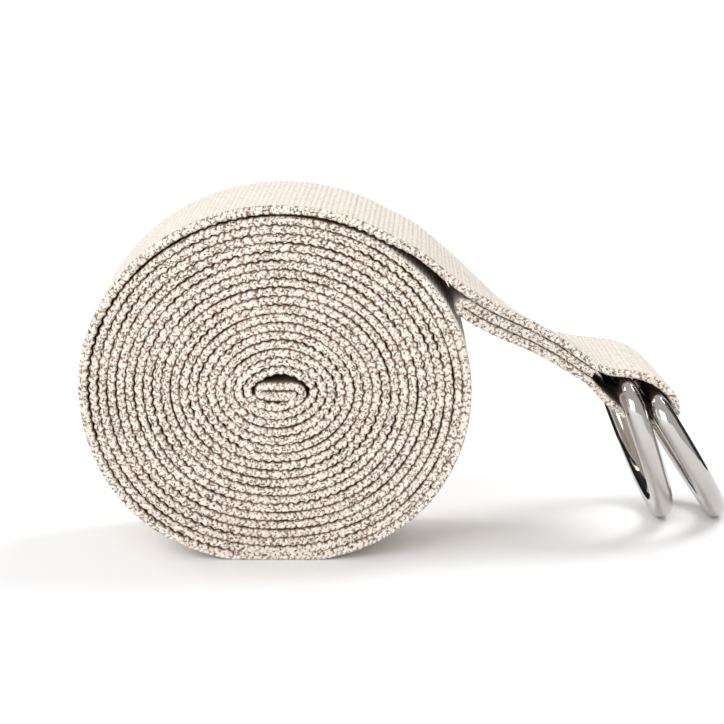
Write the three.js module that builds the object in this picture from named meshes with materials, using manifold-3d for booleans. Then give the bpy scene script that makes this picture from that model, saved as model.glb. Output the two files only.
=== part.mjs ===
// Stretching strap: one length of cotton webbing, coiled on its edge, with two D-rings
// held in a sewn loop at its outer end.
// Millimetres. X runs from the coil towards the rings, Y along the coil's axis, Z up; the tail
// sways towards +Y on its way to the rings.
// The origin is the middle of the flat that the coil rests on.
import * as THREE from "three";
import { mergeVertices } from "three/addons/utils/BufferGeometryUtils.js";
import Module from "manifold-3d";

const wasm = await Module();
wasm.setup();
const { Manifold, Mesh } = wasm;

// Webbing
const WIDTH = 38;              // selvedge to selvedge
const THICKNESS = 1.7;         // of the free, uncoiled webbing
const PLY_GAP = 0.12;          // air between plies that are sewn together

// Coil
const COIL_HALF_WIDTH = 39.4;  // envelope of the coil, before the outer turn lifts off
const COIL_HALF_HEIGHT = 35.95;
const COIL_RISE = 0.4;         // the envelope's centre above the core's centre
const SAG_BULGE = 0.022;       // how far the lower quarters squash outwards
const CORE = { x: 0.6, z: 33.9, halfWidth: 4.3, halfHeight: 1.9 };
const DEPARTURE = 56.7 * Math.PI / 180;  // where the tail leaves the coil
const TURNS = 18.8;
const PITCHES = 19.85;         // pitches between the envelope and the core
const OUTER_GAP = 0.6;         // lift of the outer turn where the tail leaves
const COIL_FILL = 0.93;        // webbing thickness as a share of the pitch
const STEPS_PER_TURN = 36;
const GROUND_SNAP = 0.05;      // the outer turn is flat where it comes this near the ground
const CORE_LAYER = 34.8;       // height of the layer that crosses the core
const CORE_REACH = 2.4;        // half its straight length
const CORE_TURN = [[5.35, 32.9], [5.3, 33.75], [4.55, 34.55], [3.5, 34.8]];

// D-rings
const WIRE = 4.5;
const RING_WIDTH = 44;         // between the centrelines of the two arms
const RING_HEIGHT = 29.5;      // bar centreline to bow centreline
const CORNER = 4.2;            // centreline radius where the bar meets an arm
const WIRE_GAP = 0.4;          // between the wire's ends, inside the weld
const WELD_LENGTH = 2.4;
const WELD_PROUD = 0.12;
const RING_SIDES = 10;
const RINGS = [
  { name: "d_ring_inner", x: 69.2, z: 30.05 },
  { name: "d_ring_outer", x: 75.1, z: 27.45 },
];

// Tail and ring loop: centreline of the webbing, from the coil round both bars
const TAIL = [[27.7, 61.0], [33.8, 55.7], [40.6, 49.8], [46.4, 45.2], [52.6, 40.9], [58.9, 36.9],
  [63.2, 34.7]];
const LOOP = [[66.4, 33.9], [69.2, 33.65], [72.0, 33.1], [74.8, 31.95], [77.2, 30.25],
  [78.9, 28.0], [79.3, 25.5], [78.1, 23.6], [75.4, 23.1], [72.0, 24.0], [68.5, 25.5], [65.4, 27.9]];
const FOLD_START = 21.6;        // from where the tail leaves the coil to the folded-back end
const TAIL_GAP = 0.3;          // cut between the coil's solid and the tail's
const SWAY = { from: 21.5, to: 69.2, drift: 20, yaw: 4 * Math.PI / 180 };  // towards +Y, along X
const TWIST = { slope: 0.115, rise: [35, 52], fall: [54, 67] };  // +Y edge down, part-way along X

// Thread
const THREAD = 0.5;
const THREAD_LIFT = 0.12;      // of a seam above the ply that it holds
const SEAM_INSET = 3;          // of a seam's ends from the selvedges

const COTTON = new THREE.MeshStandardMaterial({ color: 0xe6dccb, roughness: 0.95, metalness: 0 });
const SEWING = new THREE.MeshStandardMaterial({ color: 0xf1eadc, roughness: 0.8, metalness: 0 });
const NICKEL = new THREE.MeshStandardMaterial({ color: 0xc9c7c2, roughness: 0.15, metalness: 1 });

const group = new THREE.Group();
group.name = "stretching_strap";

function addMesh(name, geometry, material) {
  const mesh = new THREE.Mesh(geometry, material);
  mesh.name = name;
  group.add(mesh);
}

// Distance from the core's centre to the coil's envelope, in the direction psi
function envelope(psi) {
  const c2 = (Math.cos(psi) / COIL_HALF_WIDTH) ** 2;
  const s2 = (Math.sin(psi) / COIL_HALF_HEIGHT) ** 2;
  const lift = Math.sin(psi) * COIL_RISE / COIL_HALF_HEIGHT ** 2;
  const rest = (COIL_RISE / COIL_HALF_HEIGHT) ** 2 - 1;
  const radius = (lift + Math.sqrt(lift ** 2 - (c2 + s2) * rest)) / (c2 + s2);
  const bulge = Math.sin(psi) < 0 ? SAG_BULGE * Math.sin(2 * psi) ** 2 : 0;
  return radius * (1 + bulge);
}

function coreRadius(psi) {
  return 1 / Math.hypot(Math.cos(psi) / CORE.halfWidth, Math.sin(psi) / CORE.halfHeight);
}

// A point of the coil's centreline; turn counts from the tail inwards
function coilPoint(turn) {
  const psi = DEPARTURE + 2 * Math.PI * turn;
  const core = coreRadius(psi);
  const span = envelope(psi) - core;
  const lift = turn < 1 ? OUTER_GAP * (0.5 + 0.5 * Math.cos(Math.PI * turn ** 0.9)) : 0;
  const radius = core + span * (1 - (turn + 0.5) / PITCHES) + lift;
  const half = COIL_FILL * span / PITCHES / 2;
  return {
    x: CORE.x + radius * Math.cos(psi),
    z: Math.max(CORE.z + radius * Math.sin(psi), half),
    half,
  };
}

function spline(points, steps) {
  const curve = new THREE.CatmullRomCurve3(points.map(([x, z]) => new THREE.Vector3(x, 0, z)));
  return curve.getSpacedPoints(steps).map((p) => ({ x: p.x, z: p.z, half: THICKNESS / 2 }));
}

// Unit normals of a path, on its left as it is walked with X right and Z up
function normals(path) {
  return path.map((_, i) => {
    const a = path[Math.max(i - 1, 0)];
    const b = path[Math.min(i + 1, path.length - 1)];
    const length = Math.hypot(b.x - a.x, b.z - a.z);
    return { x: (a.z - b.z) / length, z: (b.x - a.x) / length };
  });
}

function offset(path, distance) {
  const side = normals(path);
  return path.map((p, i) => ({ ...p, x: p.x + distance * side[i].x, z: p.z + distance * side[i].z }));
}

// Where a point of the straight tail comes to lie, as the tail sways to one side and twists
function sway(x, y, z) {
  const { smoothstep } = THREE.MathUtils;
  const share = smoothstep(x, SWAY.from, SWAY.to);
  const yaw = SWAY.yaw * share;
  const drift = SWAY.drift * share + Math.max(x - SWAY.to, 0) * Math.tan(SWAY.yaw);
  const slope = TWIST.slope * smoothstep(x, ...TWIST.rise) * (1 - smoothstep(x, ...TWIST.fall));
  return [x - y * Math.sin(yaw), drift + y * Math.cos(yaw), z - y * slope];
}

function swayed(geometry) {
  const position = geometry.attributes.position;
  for (let i = 0; i < position.count; i += 1) {
    position.setXYZ(i, ...sway(position.getX(i), position.getY(i), position.getZ(i)));
  }
  geometry.computeVertexNormals();
  return geometry;
}

// A closed solid of the webbing: the path given its thickness and its width
function ribbon(path) {
  const side = normals(path);
  const onGround = (z) => (z < GROUND_SNAP ? 0 : z);
  const edge = (sign) => path.map((p, i) => new THREE.Vector2(
    p.x + sign * p.half * side[i].x,
    onGround(p.z + sign * p.half * side[i].z),
  ));
  const outline = new THREE.Shape([...edge(1), ...edge(-1).reverse()]);
  const geometry = new THREE.ExtrudeGeometry(outline, { depth: WIDTH, bevelEnabled: false });
  return geometry.rotateX(Math.PI / 2).translate(0, WIDTH / 2, 0);
}

// The free end at the core: a turn inwards, a layer across the core, its hem turned under it
function coreFold() {
  const pitch = THICKNESS + PLY_GAP;
  const path = CORE_TURN.map(([x, z]) => ({ x, z }));
  for (let x = CORE_REACH; x > -CORE_REACH; x -= CORE_REACH / 2) path.push({ x, z: CORE_LAYER });
  for (let k = 0; k <= 6; k += 1) {
    const angle = Math.PI * (0.5 + k / 6);
    path.push({
      x: pitch / 2 * Math.cos(angle) - CORE_REACH,
      z: CORE_LAYER - pitch / 2 + pitch / 2 * Math.sin(angle),
    });
  }
  for (let x = -CORE_REACH / 2; x < CORE_REACH; x += CORE_REACH / 2) {
    path.push({ x, z: CORE_LAYER - pitch });
  }
  return path.map((p) => ({ ...p, half: THICKNESS / 2 }));
}

function coil() {
  const steps = Math.round(TURNS * STEPS_PER_TURN);
  const path = [];
  for (let i = 0; i <= steps; i += 1) path.push(coilPoint(i * TURNS / steps));
  return path.concat(coreFold());
}

function cutStart(path, length) {
  const [a, b] = path;
  const share = length / Math.hypot(b.x - a.x, b.z - a.z);
  return [{ ...a, x: a.x + share * (b.x - a.x), z: a.z + share * (b.z - a.z) }, ...path.slice(1)];
}

// The tail: out to the rings, round both bars, back underneath, and tucked in
function tail(start) {
  const top = spline([[start.x, start.z], ...TAIL], 24);
  const pitch = THICKNESS + PLY_GAP;
  const first = top.findIndex((p) => Math.hypot(p.x - start.x, p.z - start.z) > FOLD_START);
  const sewn = top.slice(first);
  const lower = offset(sewn, -2 * pitch).reverse();
  const middle = offset(sewn, -pitch);
  const end = top[top.length - 1];
  const loop = spline([[end.x, end.z], ...LOOP, [lower[0].x, lower[0].z]], 40).slice(1, -1);
  const hem = offset(sewn.slice(0, 2), -1.5 * pitch)[0];
  const down = Math.atan2(lower.at(-1).z - middle[0].z, lower.at(-1).x - middle[0].x);
  const turn = [1, 2, 3, 4].map((k) => ({
    x: hem.x + pitch / 2 * Math.cos(down - Math.PI * k / 5),
    z: hem.z + pitch / 2 * Math.sin(down - Math.PI * k / 5),
    half: THICKNESS / 2,
  }));
  return { sewn, path: [...top, ...loop, ...lower, ...turn, ...middle] };
}

// The D outline in the ring's own plane, from one side of the weld in the bar to the other
function ringOutline() {
  const half = RING_WIDTH / 2;
  const points = [];
  const arc = (cu, cv, radius, from, to, steps) => {
    for (let k = 0; k <= steps; k += 1) {
      const angle = from + (to - from) * k / steps;
      points.push([cu + radius * Math.cos(angle), cv + radius * Math.sin(angle)]);
    }
  };
  points.push([WIRE_GAP / 2, 0], [half / 3, 0], [2 * half / 3, 0]);
  arc(half - CORNER, CORNER, CORNER, -Math.PI / 2, 0, 6);
  arc(0, RING_HEIGHT - half, half, 0, Math.PI / 2, 14);
  const mirrored = points.slice(0, -1).reverse().map(([u, v]) => [-u, v]);
  return points.concat(mirrored);
}

// A geometry as a closed solid, with its vertices shared between its faces
function asManifold(geometry) {
  geometry.deleteAttribute("normal");
  geometry.deleteAttribute("uv");
  const merged = mergeVertices(geometry, 1e-4);
  const vertProperties = new Float32Array(merged.attributes.position.array);
  return new Manifold(new Mesh({ numProp: 3, vertProperties, triVerts: new Uint32Array(merged.index.array) }));
}

// A welded D-ring hanging from its bar, leaning out so that its bow stands on the ground
function dRing({ name, x, z }) {
  const points = ringOutline().map(([u, v]) => new THREE.Vector3(0, u, -v));
  const path = new THREE.CatmullRomCurve3(points);
  const section = new THREE.Shape().absarc(0, 0, WIRE / 2, 0, 2 * Math.PI);
  const wire = new THREE.ExtrudeGeometry(section, { steps: 60, extrudePath: path, curveSegments: RING_SIDES / 2 });
  const weld = new THREE.CylinderGeometry(WIRE / 2 + WELD_PROUD, WIRE / 2 + WELD_PROUD, WELD_LENGTH, RING_SIDES);
  const solid = asManifold(wire).add(asManifold(weld)).getMesh();
  const geometry = new THREE.BufferGeometry();
  geometry.setAttribute("position", new THREE.BufferAttribute(solid.vertProperties, 3));
  geometry.setIndex(new THREE.BufferAttribute(solid.triVerts, 1));
  const lean = Math.acos((z - WIRE / 2) / RING_HEIGHT);
  geometry.rotateY(-lean).rotateZ(SWAY.yaw).translate(...sway(x, 0, z));
  geometry.computeVertexNormals();
  addMesh(name, geometry, NICKEL);
}

// A seam of thread across the webbing, drawn in one piece, as it lies in its stitch holes
function seam({ x, z, nx, nz }) {
  const reach = WIDTH / 2 - SEAM_INSET;
  const geometry = new THREE.BoxGeometry(THREAD, 2 * reach, THREAD);
  return geometry.rotateY(Math.atan2(nx, nz)).translate(x, 0, z);
}

// Where a seam lies on the tail: at one place along it, on one of its two faces
function onTail(sewn, index, up) {
  const side = normals(sewn)[index];
  const stack = up > 0 ? 0 : -2 * (THICKNESS + PLY_GAP);
  const height = stack + up * (THICKNESS / 2 + THREAD_LIFT + THREAD / 2);
  return { x: sewn[index].x + height * side.x, z: sewn[index].z + height * side.z, nx: side.x, nz: side.z };
}

const coilPath = coil();
const { path: tailPath, sewn } = tail(coilPath[0]);
addMesh("strap_coil", ribbon(coilPath), COTTON);
addMesh("strap_tail", swayed(ribbon(cutStart(tailPath, TAIL_GAP))), COTTON);
RINGS.forEach(dRing);
[1, -1].forEach((up) => {
  const face = up > 0 ? "upper" : "lower";
  addMesh(`loop_seam_${face}`, swayed(seam(onTail(sewn, sewn.length - 3, up))), SEWING);
  addMesh(`fold_seam_${face}`, swayed(seam(onTail(sewn, 2, up))), SEWING);
});
const hemTop = CORE_LAYER + THICKNESS / 2 + THREAD_LIFT + THREAD / 2;
addMesh("hem_seam", seam({ x: 0.8, z: hemTop, nx: 0, nz: 1 }), SEWING);

export default group;
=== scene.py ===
import math

import bpy
import numpy as np
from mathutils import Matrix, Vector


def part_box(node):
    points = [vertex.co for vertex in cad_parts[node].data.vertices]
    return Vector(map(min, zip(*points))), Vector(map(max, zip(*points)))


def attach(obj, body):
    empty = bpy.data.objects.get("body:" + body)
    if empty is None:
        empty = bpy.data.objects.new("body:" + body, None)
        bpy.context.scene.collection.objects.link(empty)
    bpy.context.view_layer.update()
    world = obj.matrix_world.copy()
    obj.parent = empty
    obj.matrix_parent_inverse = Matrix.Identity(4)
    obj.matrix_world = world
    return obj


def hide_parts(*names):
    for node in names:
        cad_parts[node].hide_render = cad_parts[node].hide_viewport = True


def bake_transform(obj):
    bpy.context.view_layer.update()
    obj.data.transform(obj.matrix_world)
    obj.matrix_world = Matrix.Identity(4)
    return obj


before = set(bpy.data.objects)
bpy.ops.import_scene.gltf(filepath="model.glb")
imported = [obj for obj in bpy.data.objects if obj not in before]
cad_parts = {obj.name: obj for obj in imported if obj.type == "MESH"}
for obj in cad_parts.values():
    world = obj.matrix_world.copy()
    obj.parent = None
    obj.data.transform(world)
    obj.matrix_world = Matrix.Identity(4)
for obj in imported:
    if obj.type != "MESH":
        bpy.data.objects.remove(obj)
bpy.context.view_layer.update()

# A stretching strap: one length of cotton webbing coiled on its edge, with two D-rings in a
# sewn loop at its outer end. Lengths are in millimetres until a mesh is made, in the CAD
# frame: X from the coil towards the rings, Y along the coil's axis, Z up. The tail sways
# towards +Y on its way to the rings, and twists part-way.

MM = 0.001

# The webbing's route, as in the CAD
WIDTH = 38.0
THICKNESS = 1.7
PLY_PITCH = 1.82
COIL_HALF_WIDTH, COIL_HALF_HEIGHT, COIL_RISE = 39.4, 35.95, 0.4
SAG_BULGE = 0.022
CORE_X, CORE_Z, CORE_HALF_WIDTH, CORE_HALF_HEIGHT = 0.6, 33.9, 4.3, 1.9
DEPARTURE = math.radians(56.7)
TURNS, PITCHES = 18.8, 19.85
OUTER_GAP = 0.6
COIL_FILL = 0.93
CORE_LAYER, CORE_REACH = 34.8, 2.4
CORE_TURN = [[5.35, 32.9], [5.3, 33.75], [4.55, 34.55], [3.5, 34.8]]
TAIL = [[27.7, 61.0], [33.8, 55.7], [40.6, 49.8], [46.4, 45.2], [52.6, 40.9], [58.9, 36.9],
        [63.2, 34.7]]
LOOP = [[66.4, 33.9], [69.2, 33.65], [72.0, 33.1], [74.8, 31.95], [77.2, 30.25],
        [78.9, 28.0], [79.3, 25.5], [78.1, 23.6], [75.4, 23.1], [72.0, 24.0], [68.5, 25.5],
        [65.4, 27.9]]
FOLD_START = 21.6
SWAY_FROM, SWAY_TO, SWAY_DRIFT, SWAY_YAW = 21.5, 69.2, 20.0, math.radians(4)
TWIST_SLOPE, TWIST_RISE, TWIST_FALL = 0.115, (35.0, 52.0), (54.0, 67.0)

# How finely the route is planned
COIL_SAMPLES = 24000
SPLINE_SAMPLES = 80            # between two of a spline's points
ROUTE_STEP = 0.05
ROUTE_BLUR = 8                 # steps over which its joins are smoothed

# The D-rings, as in the CAD
WIRE = 4.5
RING_WIDTH, RING_HEIGHT = 44.0, 29.5
CORNER = 4.2
WELD_LENGTH = 2.4
RINGS = {"inner": (69.2, 30.05), "outer": (75.1, 27.45)}

# What the rings have more than in the CAD
WELD_PROUD, WELD_RIPPLE = 0.16, 0.03   # the bead is a little fuller, and rippled
RING_SIDES = 48

# The weave
RIB = 1.05                     # pitch of the ribs, and of the loops along a selvedge
RIB_SLANT = 0.03               # shift along the strap for each millimetre across it
RIB_DEPTH = 0.24
STEP = RIB / 5                 # between two rows of vertices
END_FADE = 14                  # over which the slant fades out at the strap's two ends
FACE_INSET = 0.05              # of the faces and selvedges, which the relief makes up for
GROUND_LIFT = 0.02             # of the selvedges above the ground

# The loops along a selvedge: heights in millimetres, the rest in ribs along the selvedge
# and in half thicknesses through it
LOOP_PROUD = 0.34              # of a loop over the groove beside it
SELVEDGE_ROUNDING = 0.30       # drop of the selvedge's two corners
LOOP_ROW, LOOP_LEAN = 0.46, 0.30
LOOP_HALF_LENGTH, LOOP_HALF_HEIGHT = 0.54, 0.66

# How the layers and plies lie against each other
ZIGZAG_PITCH = 2 * RIB         # of the line between two layers
ZIGZAG = 0.20
PLY_ZIGZAG = 0.09              # of the line between two plies of the tail
LAYER_GAP = 0.18               # mean gap between two layers of the coil
LEAST_GAP = 0.12               # as a share of the mean
PACKED_HALF = 0.78             # half the thickness at the core, and of the coil's outer face
HEM_SWELL = 0.3
LINING = 0.25                  # by which the outer turn fills the space where it lifts off
HEM_REACH = 4.2                # the turned-under hem's cut end, from the core's middle

# The lengths that the cloth is made in
TAIL_LEAD = 5.5                # the tail's mesh runs this far past its hinge, round the coil
CUT_TURNS = (1.06, 5.6, 9.7, 13.6)   # from the tail inwards, where the next length starts

# The stitches
STITCH = 2.9
SEAM_INSET = 3.2               # of a seam's ends from the selvedges
STITCH_RISE, STITCH_DIP = 0.17, 0.16
THREAD_RADIUS, THREAD_SIDES = 0.25, 14
SEAM_SINK, HEM_SINK = 0.42, 0.75   # of the stitches below the middle of the CAD's thread

# Colours, linear
CREAM, PALE_CREAM = (0.81, 0.745, 0.66, 1), (0.83, 0.775, 0.695, 1)
DULL_YARN = (0.70, 0.625, 0.555, 1)
LOOSE_FIBRE = (0.93, 0.88, 0.81, 1)
SEED_FLECK = (0.27, 0.205, 0.155, 1)
ROSE_TINT = (1.0, 0.945, 0.925, 1)
# Painted shade: near-black dots for the shadowed holes between the loops along a selvedge
HOLE_SHADE = (0.050, 0.034, 0.024, 1)
# Painted shade: the warm brown of pits, grooves and gaps between layers, where little light reaches
PIT_SHADE = (0.17, 0.08, 0.034, 1)
# The first thread colour is painted shade, for the grooves of its twist
THREAD_GROOVE_SHADE, THREAD_CREAM = (0.62, 0.55, 0.45, 1), (0.88, 0.83, 0.74, 1)
NICKEL_HAZE, NICKEL_BRIGHT = (0.50, 0.475, 0.45, 1), (0.57, 0.55, 0.525, 1)
CARD_BLACK = (0.01, 0.01, 0.012)
FLOOR_PALE = (0.90, 0.90, 0.905)

# The studio, in metres
FLOOR_LEVEL = -2e-5
CARDS_ROUND = (0.075, 0.02)    # X and Y of the rings
CAMERA_PLACE = (0.0179, -0.6039, 0.1482)
CAMERA_DIP, CAMERA_TURN = math.radians(10.5), math.radians(0.09)
CAMERA_LENS = 151.8

rng = np.random.default_rng(7)
LOOP_SIZES = rng.uniform(0.45, 1.2, (2, 4096))
LOOP_SHIFTS = rng.uniform(-0.24, 0.24, (2, 4096))
WAVE_PHASES = rng.uniform(0, 2 * np.pi, (6, 6))


# ---------------------------------------------------------------- the route

def envelope(psi):
    """Distance from the core's centre to the coil's outline."""
    c2 = (np.cos(psi) / COIL_HALF_WIDTH) ** 2
    s2 = (np.sin(psi) / COIL_HALF_HEIGHT) ** 2
    lift = np.sin(psi) * COIL_RISE / COIL_HALF_HEIGHT ** 2
    rest = (COIL_RISE / COIL_HALF_HEIGHT) ** 2 - 1
    radius = (lift + np.sqrt(lift ** 2 - (c2 + s2) * rest)) / (c2 + s2)
    return radius * (1 + np.where(np.sin(psi) < 0, SAG_BULGE * np.sin(2 * psi) ** 2, 0))


def coil_points(turn):
    """X, Z and the pitch of the layers, at each turn counted from the tail inwards."""
    psi = DEPARTURE + 2 * np.pi * turn
    core = 1 / np.hypot(np.cos(psi) / CORE_HALF_WIDTH, np.sin(psi) / CORE_HALF_HEIGHT)
    span = envelope(psi) - core
    settle = np.clip(turn, 0, 1) ** 0.9
    radius = core + span * (1 - (turn + 0.5) / PITCHES)
    radius += OUTER_GAP * (0.5 + 0.5 * np.cos(np.pi * settle))
    pitch = span / PITCHES
    z = np.maximum(CORE_Z + radius * np.sin(psi), COIL_FILL * pitch / 2)
    return np.stack([CORE_X + radius * np.cos(psi), z, pitch], axis=1)


def spline(points):
    """A centripetal Catmull-Rom curve through the points."""
    p = np.asarray(points, float)
    p = np.vstack([2 * p[0] - p[1], p, 2 * p[-1] - p[-2]])
    u = np.linspace(0, 1, SPLINE_SAMPLES, endpoint=False)[:, None]
    pieces = []
    for a, b, c, d in zip(p, p[1:], p[2:], p[3:]):
        t0, t1, t2 = (math.sqrt(max(np.linalg.norm(v), 1e-6)) for v in (b - a, c - b, d - c))
        m1 = ((b - a) / t0 - (c - a) / (t0 + t1) + (c - b) / t1) * t1
        m2 = ((c - b) / t1 - (d - b) / (t1 + t2) + (d - c) / t2) * t1
        pieces.append(b + m1 * u + (3 * (c - b) - 2 * m1 - m2) * u ** 2
                      + (2 * (b - c) + m1 + m2) * u ** 3)
    return np.vstack([*pieces, p[-2:-1]])


def arc_length(points):
    steps = np.hypot(*np.diff(points[:, :2], axis=0).T)
    return np.concatenate([[0], np.cumsum(steps)])


def resample(points, step):
    s = arc_length(points)
    even = np.linspace(0, s[-1], int(round(s[-1] / step)) + 1)
    return np.stack([np.interp(even, s, column) for column in points.T], axis=1)


def left_normals(points):
    d = np.gradient(points[:, :2], axis=0)
    return np.stack([-d[:, 1], d[:, 0]], axis=1) / np.hypot(*d.T)[:, None]


def smooth(column, sigma):
    """The column blurred over sigma samples, with its two ends kept."""
    reach = int(3 * sigma)
    kernel = np.exp(-0.5 * (np.arange(-reach, reach + 1) / sigma) ** 2)
    padded = np.concatenate([2 * column[0] - column[reach:0:-1], column,
                             2 * column[-1] - column[-2:-reach - 2:-1]])
    return np.convolve(padded, kernel / kernel.sum(), mode="valid")


def core_fold():
    """The free end at the core: a turn inwards, a layer across it, its hem turned under."""
    half = PLY_PITCH / 2
    points = list(CORE_TURN)
    points += [[x, CORE_LAYER] for x in (CORE_REACH, CORE_REACH / 2, 0, -CORE_REACH / 2)]
    for angle in np.linspace(np.pi / 2, 3 * np.pi / 2, 7):
        points.append([half * math.cos(angle) - CORE_REACH,
                       CORE_LAYER - half + half * math.sin(angle)])
    hem = (-CORE_REACH / 2, 0, CORE_REACH / 2, HEM_REACH)
    points += [[x, CORE_LAYER - PLY_PITCH] for x in hem]
    return points


def tail_route(start):
    """Out to the rings, round both bars, back underneath, and tucked in between."""
    top = resample(spline([start, *TAIL]), 2 * ROUTE_STEP)
    far = np.hypot(*(top - start).T) > FOLD_START
    sewn = top[np.argmax(far):]
    side = left_normals(sewn)
    lower = (sewn - 2 * PLY_PITCH * side)[::-1]
    middle = sewn - PLY_PITCH * side
    loop = spline([top[-1], *LOOP, lower[0]])
    hem = (lower[-1] + middle[0]) / 2
    spoke = lower[-1] - hem
    angles = -np.linspace(0, np.pi, 14)[1:-1]
    turn = [hem + [spoke[0] * math.cos(a) - spoke[1] * math.sin(a),
                   spoke[0] * math.sin(a) + spoke[1] * math.cos(a)] for a in angles]
    return np.vstack([top, loop[1:-1], lower, turn, middle])


def plan_route():
    """The whole strap as columns against s, the length from the end tucked under the tail."""
    turns = np.linspace(0, TURNS, COIL_SAMPLES)
    coil = coil_points(turns)
    fold = spline(np.vstack([coil[-40::13, :2], core_fold()]))[3 * SPLINE_SAMPLES:]
    tail = resample(tail_route(coil[0, :2]), ROUTE_STEP)[::-1]
    core = resample(fold, ROUTE_STEP)
    xz = np.vstack([tail, coil[1:, :2], core[1:]])
    turn = np.concatenate([np.full(len(tail), 0.0), turns[1:], np.full(len(core) - 1, TURNS)])
    pitch = np.concatenate([np.full(len(tail), coil[0, 2]), coil[1:, 2],
                            np.full(len(core) - 1, THICKNESS)])
    s = arc_length(xz)
    even = np.arange(0, s[-1], ROUTE_STEP)
    x, z, turn, pitch = (np.interp(even, s, c) for c in (*xz.T, turn, pitch))
    x, z = smooth(x, ROUTE_BLUR), smooth(z, ROUTE_BLUR)
    left = left_normals(np.stack([x, z], axis=1))
    return {"s": even, "x": x, "z": z, "nx": -left[:, 0], "nz": -left[:, 1], "turn": turn,
            "pitch": pitch, "hinge": arc_length(tail)[-1], "end": even[-1]}


ROUTE = plan_route()


def at(column, s):
    return np.interp(s, ROUTE["s"], ROUTE[column])


def ramp(x, low, high):
    t = np.clip((x - low) / (high - low), 0, 1)
    return t * t * (3 - 2 * t)


def sway(x, y, z):
    """Where a point of the straight tail comes to lie, as it sways to one side and twists."""
    share = ramp(x, SWAY_FROM, SWAY_TO)
    yaw = SWAY_YAW * share
    drift = SWAY_DRIFT * share + np.maximum(x - SWAY_TO, 0) * math.tan(SWAY_YAW)
    slope = TWIST_SLOPE * ramp(x, *TWIST_RISE) * (1 - ramp(x, *TWIST_FALL))
    return x - y * np.sin(yaw), drift + y * np.cos(yaw), z - y * slope


def wander(row, s, length):
    """A slow, even, repeatable wave between about -1 and 1."""
    total = sum(np.sin(2 * np.pi * s * (k + 1) / (3.1 * length) + WAVE_PHASES[row, k])
                for k in range(6))
    return total / 2.6


# ---------------------------------------------------------------- the webbing's section

EDGE_U = np.sin(np.linspace(np.pi / 2, -np.pi / 2, 14))     # across the thickness, outer to inner
# Places of the vertices across a face, fewer where the next layer hides it
HIDDEN_W = np.array([17.6, 9.0, -9.0, -17.6])
SHOWN_W = np.concatenate([[18.3, 17.4], np.linspace(15, -15, 9), [-17.4, -18.3]])


def section(outer_w, inner_w):
    """Where the columns of vertices lie round the section: w, u, and whether on an edge."""
    n = len(EDGE_U)
    w = np.concatenate([outer_w, np.full(n, -1.0), -inner_w, np.full(n, 1.0)])
    u = np.concatenate([np.ones(len(outer_w)), EDGE_U, -np.ones(len(inner_w)), -EDGE_U])
    edge = np.concatenate([np.zeros(len(outer_w)), np.ones(n), np.zeros(len(inner_w)), np.ones(n)])
    return w, u, edge


def loops(rows, u, side):
    """Height, from 0 to 1, of the two staggered rows of weft loops along a selvedge."""
    height = np.zeros((len(rows), len(u)))
    for k, sign in enumerate((1, -1)):
        centre, lean = sign * LOOP_ROW, sign * LOOP_LEAN
        phase = rows[:, None] / RIB + 0.5 * k + lean * (u[None] - centre)
        index = np.floor(phase).astype(int)
        pick = (index * 2 + side) % LOOP_SIZES.shape[1]
        size = LOOP_SIZES[k, pick]
        along = (phase - index - 0.5 - LOOP_SHIFTS[k, pick]) / LOOP_HALF_LENGTH
        across = (u[None] - centre) / LOOP_HALF_HEIGHT
        dome = np.sqrt(np.clip(1 - along ** 2 - across ** 2, 0, 1)) * size
        height = np.maximum(height, dome)
    return height


def zigzag(row, s):
    wave = 2 * np.abs(2 * ((row / ZIGZAG_PITCH) % 1) - 1) - 1
    return ZIGZAG * wave * (0.75 + 0.5 * wander(0, s, 60))


def layer_gap(s):
    uneven = 1 + 0.5 * wander(1, s, 35) + 0.45 * wander(2, s, 9) + 0.35 * wander(4, s, 2.6)
    return LAYER_GAP * np.maximum(uneven, LEAST_GAP)


def zones(s):
    """How much each place belongs to each part of the strap, from 0 to 1."""
    hinge, end, turn = ROUTE["hinge"], ROUTE["end"], at("turn", s)
    return {
        "past_hinge": (s > hinge).astype(float),
        "coil": ramp(s, hinge - 8, hinge + 2),
        "outside": 1 - ramp(turn, 1.0, 1.03),
        "lined": 1 - ramp(turn, 0.8, 0.98),
        "core": ramp(s, end - 22, end - 17),
        "hem": ramp(s, end - 6.5, end - 5),
        "past_loop": ramp(s, hinge - 60, hinge - 50),
    }


def face_distances(s, row, w, zone):
    """How far the outer and the inner face lie from the webbing's middle, without their ribs."""
    coil, core, outside = zone["coil"], zone["core"], zone["outside"]
    neighbour = np.interp(at("turn", s) - 1, ROUTE["turn"], ROUTE["s"])
    half_pitch = at("pitch", s) / 2
    half_ply = THICKNESS / 2 - FACE_INSET
    inner = coil * (half_pitch - layer_gap(s) / 2) + (1 - coil) * half_ply
    inner = inner + LINING * coil * zone["lined"]
    inner = inner * (1 - core) + PACKED_HALF * core
    outer = coil * (half_pitch - layer_gap(neighbour) / 2) + (1 - coil) * half_ply
    outer = outer * (1 - outside) + outside * (PACKED_HALF * coil + half_ply * (1 - coil))
    outer = outer * (1 - core) + (PACKED_HALF + HEM_SWELL * zone["hem"]) * core

    inner_wave = zigzag(row, s) * coil * (1 - core)
    outer_wave = zigzag(neighbour + RIB_SLANT * w, neighbour) * (1 - outside) * (1 - core)
    ply_wave = PLY_ZIGZAG * (1 - coil) * (zigzag(row, s) / ZIGZAG + wander(5, s, 1.3)) / 2
    return outer + outer_wave + ply_wave, inner - inner_wave - ply_wave


def rib_depths(s, zone):
    """How deep the ribs are on the outer and the inner face; none shows inside the coil."""
    past_hinge, outside = zone["past_hinge"], zone["outside"]
    outer = outside * (0.35 + 0.45 * zone["past_loop"]) * (1 + 0.15 * wander(3, s, 9))
    inner = (1 - past_hinge) * 0.9 + past_hinge * outside * 0.3
    return outer * RIB_DEPTH, inner * RIB_DEPTH


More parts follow.
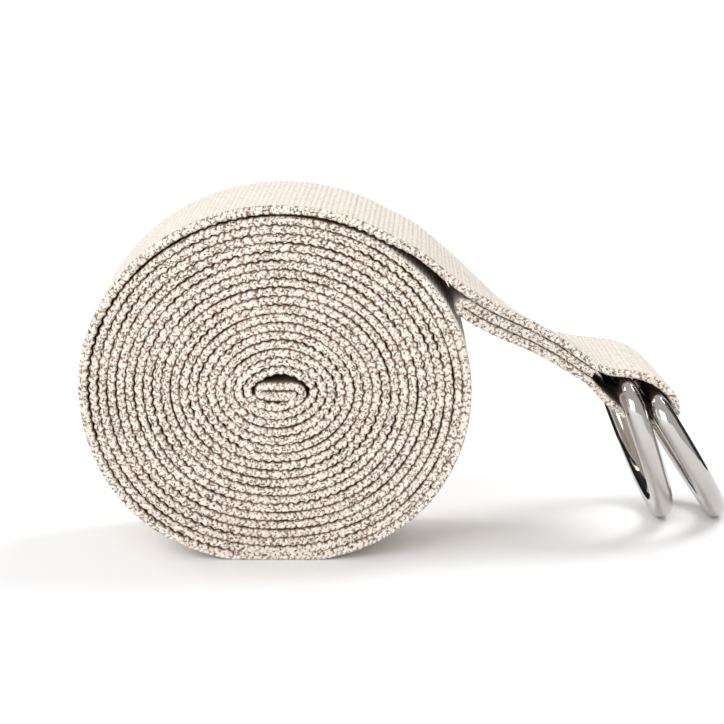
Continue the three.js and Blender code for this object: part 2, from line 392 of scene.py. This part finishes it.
def light_reaching(u, edge, height, rib, zone):
    """From 0, deep in a pit or between two layers, to 1 on an open face or a loop's crest."""
    open_face = np.where(u[None] > 0, zone["outside"], 1 - zone["past_hinge"])
    corner = np.abs(u[None]) ** 6
    groove = np.clip((height - 0.05) / 0.42, 0, 1) * (1 - 0.45 * corner * (1 - open_face))
    groove = np.maximum(groove, 0.9 * open_face * corner)
    face = open_face * (0.86 + 0.14 * np.clip(rib * 1.5 - 0.2, 0, 1))
    face = np.where(u[None] > 0, face, 0.18 * face)
    return np.clip(np.where(edge[None] > 0, groove, face), 0, 1)



def strap_piece(name, s0, s1, outer_w, inner_w):
    """A closed mesh of the webbing between two places along it, with its weave coordinates."""
    rows = np.arange(round(s0 / STEP), round(s1 / STEP) + 1) * STEP
    w_plan, u, edge = section(outer_w, inner_w)
    side = np.sign(w_plan)
    w = np.where(edge > 0, side * WIDTH / 2, w_plan)[None] + 0 * rows[:, None]
    row = rows[:, None] + 0 * w
    fade = ramp(rows, 0, END_FADE) * (1 - ramp(rows, ROUTE["end"] - END_FADE, ROUTE["end"]))
    s = rows[:, None] - RIB_SLANT * w * fade[:, None]
    zone = zones(s)

    height = np.zeros_like(w)
    for sign in (-1, 1):
        cols = (edge > 0) & (side == sign)
        height[:, cols] = loops(rows, u[cols], int(sign > 0))
    proud = LOOP_PROUD * (height - 1) - SELVEDGE_ROUNDING * u[None] ** 4
    across = np.where(edge[None] > 0, side[None] * (WIDTH / 2 - FACE_INSET + proud), w)

    rib = np.abs(np.sin(np.pi * row / RIB)) ** 0.75
    outer, inner = face_distances(s, row, w, zone)
    outer_ribs, inner_ribs = rib_depths(s, zone)
    face = 1 - edge[None]
    outwards = np.clip(u, 0, None)[None] * outer + face * (u[None] > 0) * outer_ribs * (rib - 0.65)
    inwards = np.clip(-u, 0, None)[None] * inner + face * (u[None] < 0) * inner_ribs * (rib - 0.65)
    through = outwards - inwards

    x = at("x", s) + through * at("nx", s)
    z = np.maximum(at("z", s) + through * at("nz", s), GROUND_LIFT * (edge[None] > 0))
    straight = np.stack([x, across, z], axis=-1)
    swayed = np.stack(sway(x, across, z), axis=-1)
    points = np.where(s[..., None] < ROUTE["hinge"], swayed, straight)
    weave = np.stack([row, across, through], axis=-1)
    shade = light_reaching(u, edge, height, rib, zone)
    return grid_mesh(name, points, {"weave": weave, "shade": shade})


def grid_mesh(name, points, attributes):
    """A tube of quads from a grid of points, closed round its columns and capped at its ends."""
    rows, cols = points.shape[:2]
    i = np.arange(rows - 1)[:, None] * cols
    j = np.arange(cols)[None]
    k = (j + 1) % cols
    quads = np.stack([i + j, i + cols + j, i + cols + k, i + k], axis=-1).reshape(-1, 4)
    shift = len(EDGE_U) // 2
    ends = []
    for base, flip in ((0, False), ((rows - 1) * cols, True)):
        ring = base + (np.arange(cols) - shift) % cols
        strip = np.array([[ring[n], ring[n + 1], ring[cols - n - 1], ring[(cols - n) % cols]]
                          for n in range(cols // 2)])
        ends.append(strip if flip else strip[:, ::-1])
    return finish_mesh(name, points.reshape(-1, 3), quads, ends, attributes)


def finish_mesh(name, vertices, quads, ends, attributes):
    """An object from its smooth quads, its flat end polygons and its point attributes."""
    polygons = [list(dict.fromkeys(f)) for strip in ends for f in strip.tolist()]
    corners = np.concatenate([quads.ravel(), *[np.array(f) for f in polygons]]).astype(np.int32)
    sizes = np.concatenate([np.full(len(quads), 4), [len(f) for f in polygons]]).astype(np.int32)
    mesh = bpy.data.meshes.new(name)
    mesh.vertices.add(len(vertices))
    mesh.vertices.foreach_set("co", (vertices * MM).astype(np.float32).ravel())
    mesh.loops.add(len(corners))
    mesh.loops.foreach_set("vertex_index", corners)
    mesh.polygons.add(len(sizes))
    starts = np.concatenate([[0], np.cumsum(sizes)[:-1]]).astype(np.int32)
    mesh.polygons.foreach_set("loop_start", starts)
    flat = np.arange(len(sizes)) >= len(quads)
    mesh.polygons.foreach_set("use_smooth", ~flat)
    mesh.update(calc_edges=True)
    for key, values in attributes.items():
        kind = "FLOAT_VECTOR" if values.shape[-1] == 3 and values.ndim == 3 else "FLOAT"
        attribute = mesh.attributes.new(key, kind, "POINT")
        field = "vector" if kind == "FLOAT_VECTOR" else "value"
        attribute.data.foreach_set(field, values.astype(np.float32).ravel())
    mesh.validate()
    piece = bpy.data.objects.new(name, mesh)
    bpy.context.scene.collection.objects.link(piece)
    return piece


# ---------------------------------------------------------------- tubes: rings and thread

def tube(name, path, frame_normals, radius, sides, closed):
    """A round tube swept along a path, with its cross-section's first axis given."""
    path = np.asarray(path, float)
    tangent = np.gradient(path, axis=0)
    if closed:
        tangent = np.roll(path, -1, axis=0) - np.roll(path, 1, axis=0)
    tangent /= np.linalg.norm(tangent, axis=1)[:, None]
    first = frame_normals - (frame_normals * tangent).sum(1)[:, None] * tangent
    first /= np.linalg.norm(first, axis=1)[:, None]
    second = np.cross(tangent, first)
    angle = np.linspace(0, 2 * np.pi, sides, endpoint=False)
    spoke = (first[:, None] * np.cos(angle)[None, :, None]
             + second[:, None] * np.sin(angle)[None, :, None])
    radii = np.broadcast_to(np.asarray(radius, float).reshape(-1, 1, 1), (len(path), 1, 1))
    points = path[:, None] + radii * spoke
    s = np.concatenate([[0], np.cumsum(np.linalg.norm(np.diff(path, axis=0), axis=1))])
    weave = np.stack(np.broadcast_arrays(s[:, None], angle[None]), axis=-1)
    weave = np.concatenate([weave, np.zeros_like(weave[..., :1])], axis=-1)
    rows = len(path)
    i = np.arange(rows if closed else rows - 1)[:, None]
    j = np.arange(sides)[None]
    k = (j + 1) % sides
    following = (i + 1) % rows
    quads = np.stack([i * sides + j, i * sides + k, following * sides + k, following * sides + j],
                     axis=-1).reshape(-1, 4)
    vertices = points.reshape(-1, 3)
    ends = []
    if not closed:
        first_ring = np.arange(sides)[None, ::-1]
        last_ring = (rows - 1) * sides + np.arange(sides)[None]
        ends = [first_ring, last_ring]
    return finish_mesh(name, vertices, quads, ends, {"weave": weave})


def ring_outline():
    """The D in its own plane, its bar's middle first."""
    half = RING_WIDTH / 2
    corner = np.linspace(-np.pi / 2, 0, 24)
    bow = np.linspace(0, np.pi / 2, 60)
    right = np.vstack([
        np.stack([np.linspace(0, half - CORNER, 40)[:-1], np.zeros(39)], axis=1),
        np.stack([half - CORNER + CORNER * np.cos(corner), CORNER + CORNER * np.sin(corner)],
                 axis=1),
        np.stack([half * np.cos(bow), RING_HEIGHT - half + half * np.sin(bow)], axis=1),
    ])
    return np.vstack([right, (right * [-1, 1])[-2:0:-1]])


def ring_piece(name, x, z):
    """A welded wire D hanging from its bar at (x, z), its bow leaning out to the ground."""
    outline = resample(np.vstack([ring_outline(), ring_outline()[:1]]), 0.4)[:-1]
    lean = math.acos((z - WIRE / 2) / RING_HEIGHT)
    down = np.array([math.sin(lean), 0, -math.cos(lean)])
    path = np.outer(outline[:, 0], [0, 1, 0]) + np.outer(outline[:, 1], down)
    turn = np.array([[math.cos(SWAY_YAW), -math.sin(SWAY_YAW), 0],
                     [math.sin(SWAY_YAW), math.cos(SWAY_YAW), 0], [0, 0, 1]])
    path = path @ turn.T + sway(x, 0.0, z)
    normals = np.tile(turn @ [math.cos(lean), 0, math.sin(lean)], (len(path), 1))
    from_weld = np.hypot(outline[:, 0], outline[:, 1])
    bead = WELD_PROUD * np.exp(-(from_weld / (WELD_LENGTH / 2)) ** 4)
    ripple = WELD_RIPPLE * np.cos(7 * from_weld) * (from_weld < WELD_LENGTH)
    return tube(name, path, normals, WIRE / 2 - 0.01 + bead + ripple, RING_SIDES, closed=True)


def stitch_piece(name, place, normal):
    """A row of lockstitches across the strap, each dipping into its needle holes."""
    reach = WIDTH / 2 - SEAM_INSET
    y = np.linspace(-reach, reach, 420)
    phase = (y + reach) / STITCH
    lift = STITCH_RISE * np.abs(np.sin(np.pi * phase)) ** 0.45 - STITCH_DIP
    swayed = sway(place[0] + lift * normal[0], y, place[1] + lift * normal[1])
    path = np.stack(swayed, axis=1)
    along = np.tile([normal[0], 0.0, normal[1]], (len(path), 1))
    return tube(name, path, along, THREAD_RADIUS, THREAD_SIDES, closed=False)


# ---------------------------------------------------------------- materials

class Material:
    """A material's node tree, with one short call for each node."""

    def __init__(self, name):
        self.material = bpy.data.materials.new(name)
        self.material.use_nodes = True
        self.tree = self.material.node_tree
        self.tree.nodes.clear()
        self.shader = self.add("ShaderNodeBsdfPrincipled")
        output = self.add("ShaderNodeOutputMaterial")
        self.tree.links.new(self.shader.outputs["BSDF"], output.inputs["Surface"])

    def add(self, kind, inputs=None, **settings):
        node = self.tree.nodes.new(kind)
        for key, value in settings.items():
            setattr(node, key, value)
        for key, value in (inputs or {}).items():
            self.put(node.inputs[key], value)
        return node

    def put(self, socket, value):
        if isinstance(value, bpy.types.NodeSocket):
            self.tree.links.new(value, socket)
        else:
            socket.default_value = value

    def math(self, operation, *values):
        node = self.add("ShaderNodeMath", operation=operation)
        for socket, value in zip(node.inputs, values):
            self.put(socket, value)
        return node.outputs[0]

    def attribute(self, name, output="Fac"):
        return self.add("ShaderNodeAttribute", attribute_name=name).outputs[output]

    def noise(self, vector, scale, detail, stretch=(1, 1, 1)):
        mapped = self.add("ShaderNodeMapping", {"Vector": vector, "Scale": stretch})
        node = self.add("ShaderNodeTexNoise",
                        {"Vector": mapped.outputs[0], "Scale": scale, "Detail": detail})
        return node.outputs["Fac"]

    def spread(self, value, low, high, to_low=0.0, to_high=1.0):
        node = self.add("ShaderNodeMapRange",
                        {"Value": value, "From Min": low, "From Max": high,
                         "To Min": to_low, "To Max": to_high})
        return node.outputs[0]

    def mix(self, factor, a, b, blend="MIX"):
        node = self.add("ShaderNodeMix", data_type="RGBA", blend_type=blend)
        colours = [s for s in node.inputs if s.type == "RGBA"]
        self.put(node.inputs[0], factor)
        self.put(colours[0], a)
        self.put(colours[1], b)
        return [s for s in node.outputs if s.type == "RGBA"][0]

    def bump(self, height, distance, strength):
        node = self.add("ShaderNodeBump",
                        {"Height": height, "Distance": distance, "Strength": strength})
        return node.outputs[0]

    def set(self, **values):
        for key, value in values.items():
            self.put(self.shader.inputs[key.replace("_", " ")], value)


def cotton():
    """Undyed cotton: ribbed weave, warp yarns, loose fibres, slow changes of tone, and painted
    shade: near-black dots in the selvedges' holes, warm brown in pits and between layers.
    """
    m = Material("cotton_webbing")
    weave = m.attribute("weave", "Vector")
    shade = m.attribute("shade")
    split = m.add("ShaderNodeSeparateXYZ", {"Vector": weave})
    along, across = split.outputs[0], split.outputs[1]

    rib_index = m.math("FLOOR", m.math("DIVIDE", along, RIB))
    brick = m.math("ADD", m.math("MULTIPLY", across, 2 * math.pi),
                   m.math("MULTIPLY", rib_index, math.pi))
    yarn = m.math("ABSOLUTE", m.math("SINE", m.math("MULTIPLY", brick, 0.5)))
    fibre = m.noise(weave, 5.5, 3.0, (0.55, 1.0, 1.0))
    fuzz = m.noise(weave, 13.0, 2.0)
    tone = m.noise(weave, 0.05, 2.0, (1.0, 1.2, 3.0))
    yarn_tone = m.noise(weave, 0.85, 1.0, (1.0, 1.0, 1.3))
    fleck = m.noise(weave, 1.6, 2.0)
    # Near-black dots of painted shade for the holes between the loops along a selvedge
    hole_noise = m.noise(weave, 2.3, 2.0, (0.75, 1.0, 1.0))
    selvedge = m.spread(m.math("ABSOLUTE", across), 18.3, 18.5)
    hole_shade_mask = m.math("MULTIPLY", m.spread(hole_noise, 0.55, 0.62, 0.0, 0.9), selvedge)
    tint = m.noise(weave, 0.45, 2.0)

    warm = m.mix(m.spread(tone, 0.35, 0.65), CREAM, PALE_CREAM)
    mottled = m.mix(m.spread(yarn_tone, 0.3, 0.7), DULL_YARN, warm)
    fibred = m.mix(m.spread(fibre, 0.3, 0.75, 0.0, 0.40), mottled, LOOSE_FIBRE)
    flecked = m.mix(m.spread(fleck, 0.60, 0.72, 0.0, 0.75), fibred, SEED_FLECK)
    tinted = m.mix(m.spread(tint, 0.35, 0.65, 0.0, 0.5), flecked, ROSE_TINT, "MULTIPLY")
    # Painted shade: the selvedge holes' dots go near-black
    hole_shaded = m.mix(hole_shade_mask, tinted, HOLE_SHADE)
    # Painted shade: the colour darkens to a warm brown where the shade attribute says little light
    # reaches
    pit_shaded = m.mix(shade, PIT_SHADE, hole_shaded)

    relief = m.math("ADD", m.math("MULTIPLY", yarn, 0.55),
                    m.math("ADD", m.math("MULTIPLY", fibre, 0.5), m.math("MULTIPLY", fuzz, 0.35)))
    m.set(Base_Color=pit_shaded, Roughness=m.spread(fibre, 0.3, 0.7, 0.82, 0.96),
          Normal=m.bump(relief, 0.00022, 0.9))
    m.set(Sheen_Weight=0.18, Sheen_Roughness=0.55, Specular_IOR_Level=0.2)
    return m.material


def sewing_thread():
    """Two-ply polyester thread, a little brighter and smoother than the cotton."""
    m = Material("sewing_thread")
    weave = m.attribute("weave", "Vector")
    split = m.add("ShaderNodeSeparateXYZ", {"Vector": weave})
    twist = m.math("SINE", m.math("ADD", m.math("MULTIPLY", split.outputs[0], 2 * math.pi / 0.55),
                                  m.math("MULTIPLY", split.outputs[1], 2.0)))
    fibre = m.noise(weave, 9.0, 2.0)
    # Painted shade: darker in the grooves of the twist, where its relief is low
    colour = m.mix(m.spread(twist, -1, 1), THREAD_GROOVE_SHADE, THREAD_CREAM)
    relief = m.math("ADD", m.math("MULTIPLY", twist, 0.5), m.math("MULTIPLY", fibre, 0.3))
    m.set(Base_Color=colour, Roughness=m.spread(fibre, 0.3, 0.7, 0.45, 0.62),
          Normal=m.bump(relief, 0.0001, 0.8))
    m.set(Sheen_Weight=0.1, Specular_IOR_Level=0.4)
    return m.material


def nickel():
    """Polished nickel plate: a warm grey mirror with hairline scratches and faint handling marks."""
    m = Material("polished_nickel")
    place = m.add("ShaderNodeTexCoord").outputs["Object"]
    hairline = m.noise(place, 900.0, 3.0, (1.0, 0.12, 1.0))
    haze = m.noise(place, 60.0, 2.0)
    pitting = m.noise(place, 260.0, 3.0)
    rough = m.math("ADD", m.spread(haze, 0.35, 0.7, 0.045, 0.11),
                   m.spread(hairline, 0.62, 0.75, 0.0, 0.10))
    colour = m.mix(m.spread(haze, 0.3, 0.7), NICKEL_HAZE, NICKEL_BRIGHT)
    relief = m.math("ADD", m.math("MULTIPLY", hairline, 0.25), m.math("MULTIPLY", pitting, 0.5))
    m.set(Base_Color=colour, Metallic=1.0, Roughness=rough, Normal=m.bump(relief, 0.00002, 0.5))
    return m.material


def plain(name, colour, roughness):
    """A plain material, for the floor and the cards only."""
    m = Material(name)
    m.set(Base_Color=(*colour, 1), Roughness=roughness)
    return m.material


# ---------------------------------------------------------------- the pieces

def place(piece, material, slot, replaced, body):
    """Finishes a piece; a piece given no body is left unattached."""
    piece.data.materials.append(material)
    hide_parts(*replaced)
    if body:
        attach(piece, body)
    return piece


def build_webbing():
    material = cotton()
    hinge, end = ROUTE["hinge"], ROUTE["end"]
    cuts = [hinge + TAIL_LEAD, *ROUTE["s"][np.searchsorted(ROUTE["turn"], CUT_TURNS)]]
    marks = [round(cut / RIB) * RIB for cut in cuts] + [end]
    names = ["webbing_outer_turn", "webbing_outer_layers", "webbing_middle_layers",
             "webbing_inner_layers", "webbing_core"]
    tail = strap_piece("webbing_tail", 0.0, marks[0], SHOWN_W, SHOWN_W)
    place(tail, material, "webbing", ["strap_tail"], None)
    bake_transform(tail)
    for name, s0, s1 in zip(names, marks, marks[1:]):
        outer_w = SHOWN_W if name == "webbing_outer_turn" else HIDDEN_W
        piece = strap_piece(name, s0, s1, outer_w, HIDDEN_W)
        place(piece, material, "webbing", ["strap_coil"], "coil")


def build_rings():
    material = nickel()
    for name, (x, z) in RINGS.items():
        piece = ring_piece(f"d_ring_{name}_wire", x, z)
        place(piece, material, "ring_metal", [f"d_ring_{name}"], f"{name}_ring")


def build_stitching():
    material = sewing_thread()
    middle = {}
    for node in ("loop_seam_upper", "loop_seam_lower", "fold_seam_upper", "fold_seam_lower",
                 "hem_seam"):
        low, high = (np.array(corner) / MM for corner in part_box(node))
        middle[node] = ((low + high) / 2)[[0, 2]]
    for node, centre in middle.items():
        partner = middle.get(node.replace("upper", "lower") if "upper" in node
                             else node.replace("lower", "upper"))
        normal = np.array([0.0, 1.0])
        if node != "hem_seam":
            normal = centre - partner
            normal /= np.linalg.norm(normal)
        sink = HEM_SINK if node == "hem_seam" else SEAM_SINK
        piece = stitch_piece(node.replace("seam", "stitching"), centre - sink * normal, normal)
        place(piece, material, "thread", [node], "coil" if node == "hem_seam" else "tail")


def plane(name, corners, material):
    mesh = bpy.data.meshes.new(name)
    mesh.from_pydata(corners, [], [list(range(len(corners)))])
    mesh.materials.append(material)
    piece = bpy.data.objects.new(name, mesh)
    bpy.context.scene.collection.objects.link(piece)
    return piece


def dark_card(name, bearing, width, low, high, distance=0.5):
    """A black card standing round the rings, which only their reflections show."""
    angle = math.radians(bearing)
    centre = CARDS_ROUND + distance * np.array([math.sin(angle), math.cos(angle)])
    side = np.array([math.cos(angle), -math.sin(angle)]) * width / 2
    a, b = centre - side, centre + side
    corners = [(*a, low), (*b, low), (*b, high), (*a, high)]
    card = plane(name, corners, plain(name, CARD_BLACK, 0.9))
    card.visible_camera = False
    card.visible_diffuse = False
    card.visible_shadow = False


def build_stage():
    corners = [(x, y, FLOOR_LEVEL) for x, y in ((-6, -4), (6, -4), (6, 12), (-6, 12))]
    plane("floor", corners, plain("pale_floor", FLOOR_PALE, 0.75))
    dark_card("card_back_left", -54, 0.36, 0.0, 0.7)
    dark_card("card_back_right", 54, 0.40, 0.0, 0.9)
    dark_card("card_side_left", -88, 0.10, 0.02, 0.7)
    dark_card("card_side_right", 84, 0.12, 0.02, 0.9)
    dark_card("card_low_left", -44, 0.05, 0.0, 0.02, distance=0.05)


def aim(lamp, direction):
    """Turns a light so that it shines along the direction."""
    flat = math.hypot(direction[0], direction[1])
    lamp.rotation_euler = (math.atan2(flat, -direction[2]), 0,
                           math.atan2(direction[1], direction[0]) - math.pi / 2)


def sky_light(name, source, irradiance):
    """Soft light from one side, as even as a large diffuser gives."""
    light = bpy.data.lights.new(name, "SUN")
    light.energy = irradiance
    light.angle = math.radians(32)
    lamp = bpy.data.objects.new(name, light)
    aim(lamp, -np.array(source))
    bpy.context.scene.collection.objects.link(lamp)


def soft_box(name, location, target, size, power):
    light = bpy.data.lights.new(name, "AREA")
    light.shape = "RECTANGLE"
    light.size, light.size_y = size
    light.energy = power
    lamp = bpy.data.objects.new(name, light)
    lamp.location = location
    aim(lamp, np.array(target) - np.array(location))
    bpy.context.scene.collection.objects.link(lamp)


def build_light():
    world = bpy.data.worlds.new("studio")
    bpy.context.scene.world = world
    world.use_nodes = True
    background = world.node_tree.nodes["Background"]
    background.inputs["Color"].default_value = (1.0, 1.0, 1.0, 1)
    background.inputs["Strength"].default_value = 0.66
    sky_light("back_right", (0.55, 0.45, 0.8), 1.5)
    sky_light("back_left", (-0.8, 0.3, 0.8), 0.70)
    soft_box("front_fill", (-0.4, -1.1, 0.5), (0.0, 0, 0.03), (0.9, 0.9), 11.0)


def build_camera():
    camera = bpy.data.cameras.new("camera")
    camera.sensor_width = 36.0
    camera.lens = CAMERA_LENS
    camera.clip_start, camera.clip_end = 0.01, 50
    holder = bpy.data.objects.new("camera", camera)
    holder.location = CAMERA_PLACE
    holder.rotation_euler = (math.pi / 2 - CAMERA_DIP, 0, CAMERA_TURN)
    bpy.context.scene.collection.objects.link(holder)
    bpy.context.scene.camera = holder


bpy.context.scene.view_settings.view_transform = "Standard"
build_camera()
build_rings()
build_webbing()
build_stitching()
build_stage()
build_light()

bpy.context.view_layer.update()
